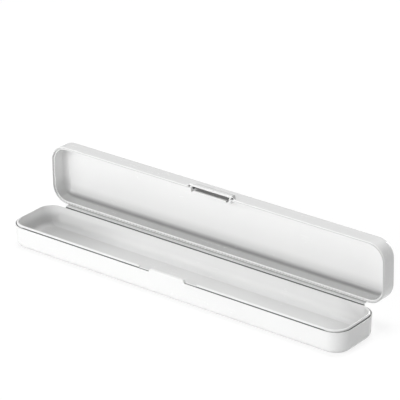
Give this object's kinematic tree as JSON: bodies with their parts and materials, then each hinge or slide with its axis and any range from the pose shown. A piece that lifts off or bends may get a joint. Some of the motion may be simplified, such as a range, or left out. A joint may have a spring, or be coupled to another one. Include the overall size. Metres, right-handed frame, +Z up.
{
  "type": "electric toothbrush travel case",
  "caption": "Slim hinged plastic clamshell case for an electric toothbrush, with a rounded tray, a matching lid, a pinned rear hinge and a front snap tab.",
  "frame": {"origin": "middle of the flat underside of the base, where the case rests", "axes": "+X along the case, +Y from the latch to the hinge, +Z up; the lid stands open"},
  "size_m": [0.25, 0.0541, 0.0543],
  "materials": {
    "white_plastic": "smooth gloss, white moulded plastic",
    "steel": "drawn steel wire"
  },
  "bodies": {
    "base": {"base_shell": "white_plastic", "hinge_pin_left": "steel", "hinge_pin_right": "steel"},
    "lid": {"lid_shell": "white_plastic"},
    "tongue": {"latch_tongue": "white_plastic"}
  },
  "joints": [
    {"name": "lid_hinge", "type": "hinge", "parent": "base", "child": "lid", "pos_m": [0, 0.02085, 0.013], "axis": [1, 0, 0], "range_deg": [0, 91]},
    {"name": "latch_flex", "type": "hinge", "parent": "lid", "child": "tongue", "pos_m": [0, 0.02875, 0.05002], "axis": [1, 0, 0], "range_deg": [0, 3], "stiffness_Nm_per_rad": 0.5}
  ]
}
